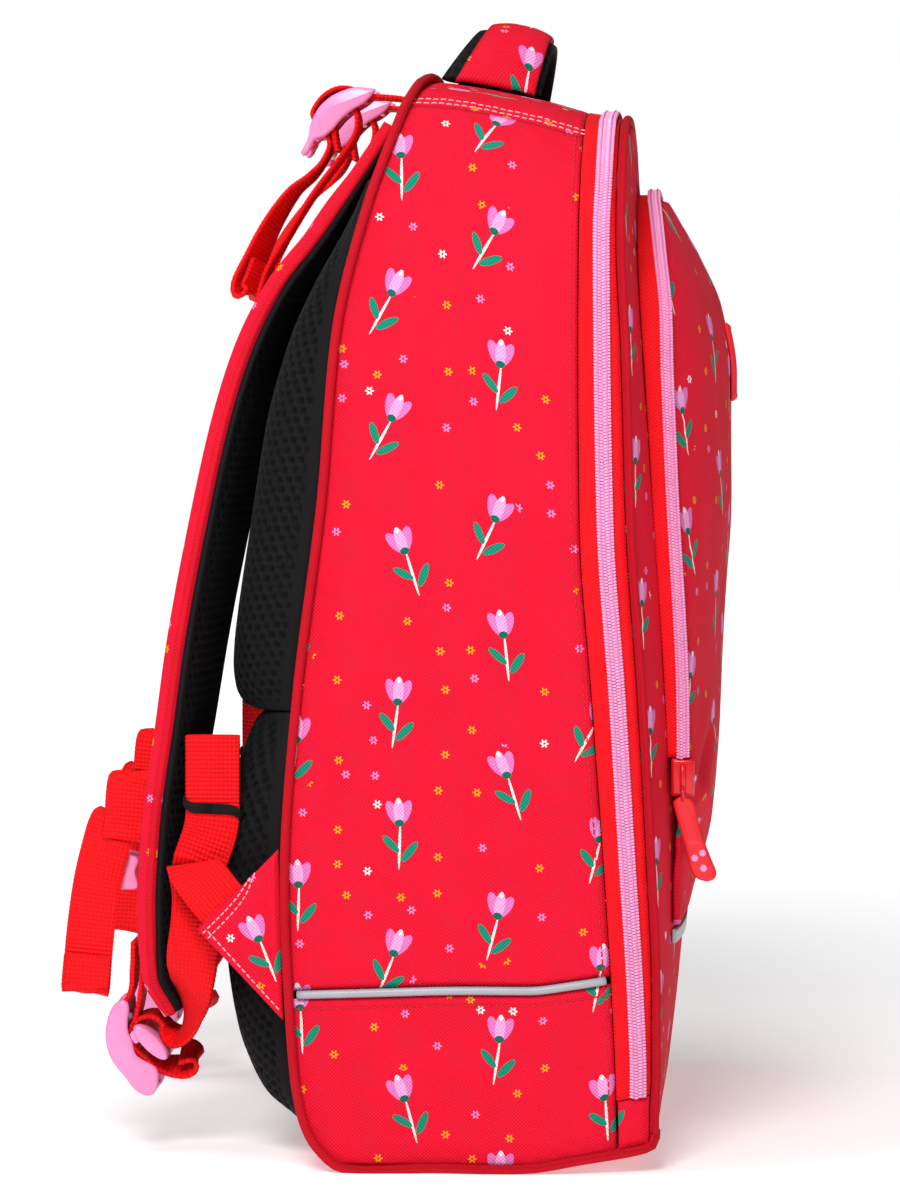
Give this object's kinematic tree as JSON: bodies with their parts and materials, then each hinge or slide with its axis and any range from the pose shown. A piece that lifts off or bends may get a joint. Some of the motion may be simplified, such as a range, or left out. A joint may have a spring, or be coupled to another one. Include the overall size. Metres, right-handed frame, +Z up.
{
  "type": "ergonomic school backpack",
  "caption": "Children's padded school backpack with a zipped main compartment, a domed front pocket, mesh back pads, shoulder straps with ladder locks and a carrying handle.",
  "frame": {"origin": "middle of the flat base on the floor", "axes": "+Z up, the front pocket faces -Y, the wearer's back is on the +Y side, X is across"},
  "size_m": [0.2891, 0.2618, 0.4261],
  "materials": {
    "printed_fabric": "plain woven polyester, printed",
    "piping": "woven tape over a cord",
    "zip_tape": "woven zip tape",
    "zip_coil": "nylon coil",
    "slider": "lacquered",
    "rubber_trim": "soft moulded",
    "spacer_mesh": "knitted spacer mesh",
    "reflective": "reflective tape",
    "webbing": "ribbed polyester webbing",
    "buckle": "moulded acetal",
    "elastic": "braided elastic"
  },
  "bodies": {
    "bag": {"side_lower_right": "printed_fabric", "side_lower_left": "printed_fabric", "side_upper_right": "printed_fabric", "side_upper_left": "printed_fabric", "side_reflective_right": "reflective", "side_reflective_left": "reflective", "back_panel": "printed_fabric", "top_panel": "printed_fabric", "main_zip_tape": "zip_tape", "main_zip_coil": "zip_coil", "zip_end_tab_right": "printed_fabric", "zip_end_tab_left": "printed_fabric", "main_zip_slider": "slider", "back_piping": "piping", "front_piping": "piping", "front_panel": "printed_fabric", "pocket_face": "printed_fabric", "pocket_zip_tape": "zip_tape", "pocket_zip_coil": "zip_coil", "pocket_reflective": "reflective", "badge_patch": "rubber_trim", "handle_outer": "printed_fabric", "handle_lining": "spacer_mesh", "upper_pad": "spacer_mesh", "lumbar_pad": "spacer_mesh", "pocket_slider_left": "slider", "shoulder_strap_right": "printed_fabric", "shoulder_strap_left": "printed_fabric", "strap_lining_right": "spacer_mesh", "strap_lining_left": "spacer_mesh", "top_lock_right": "buckle", "top_lock_left": "buckle", "lifter_webbing_right": "webbing", "lifter_webbing_left": "webbing", "strap_top_webbing_right": "webbing", "strap_top_webbing_left": "webbing", "chest_anchor_right": "webbing", "chest_anchor_left": "webbing", "chest_buckle_right": "buckle", "chest_buckle_left": "buckle", "chest_webbing_right": "webbing", "chest_webbing_left": "webbing", "lower_lock_right": "buckle", "lower_lock_left": "buckle", "strap_end_loop_right": "webbing", "strap_end_loop_left": "webbing", "side_tab_right": "printed_fabric", "side_tab_left": "printed_fabric", "lower_webbing_right": "webbing", "lower_webbing_left": "webbing", "webbing_hank_right": "webbing", "webbing_hank_left": "webbing", "keeper_band_right": "elastic", "keeper_band_left": "elastic"},
    "pull": {"zip_pull_left": "rubber_trim"}
  },
  "joints": [
    {"name": "pull_swing", "type": "hinge", "parent": "bag", "child": "pull", "pos_m": [-0.1173, -0.0839, 0.138], "axis": [0, 1, 0], "range_deg": [0, 140]}
  ]
}
